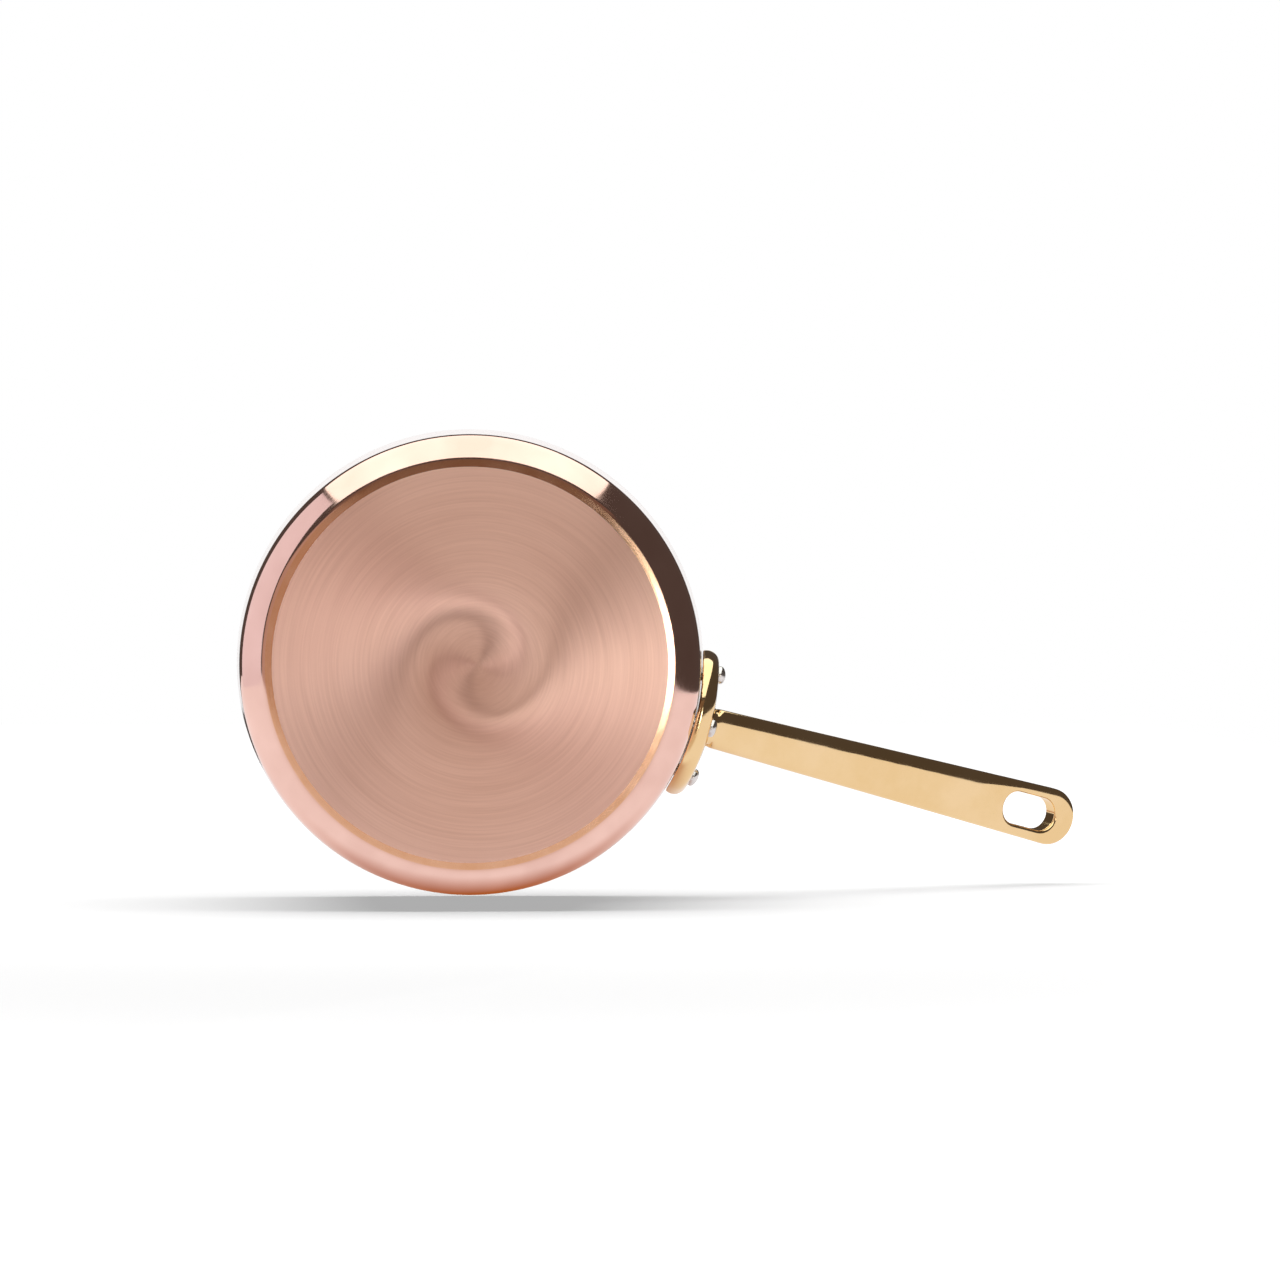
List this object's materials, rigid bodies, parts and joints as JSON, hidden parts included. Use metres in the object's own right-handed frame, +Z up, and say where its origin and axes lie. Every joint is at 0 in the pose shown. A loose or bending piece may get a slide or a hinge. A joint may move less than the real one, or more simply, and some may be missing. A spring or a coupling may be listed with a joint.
{
  "type": "copper saucepan",
  "caption": "Small round saucepan: a copper body lined with stainless steel, with a riveted brass bar handle that rises to a hanging slot.",
  "frame": {"origin": "centre of the underside of the flat base", "axes": "+Z up through the pan's open mouth, +X along the handle"},
  "size_m": [0.3109, 0.164, 0.1502],
  "materials": {
    "copper": "polished copper, with a turned brushed base",
    "lining_steel": "satin",
    "brass": "polished",
    "rivet_steel": "polished"
  },
  "bodies": {
    "root": {"copper_shell": "copper", "steel_lining": "lining_steel", "handle": "brass", "rivet_left": "rivet_steel", "rivet_right": "rivet_steel", "rivet_lower": "rivet_steel"}
  },
  "joints": []
}
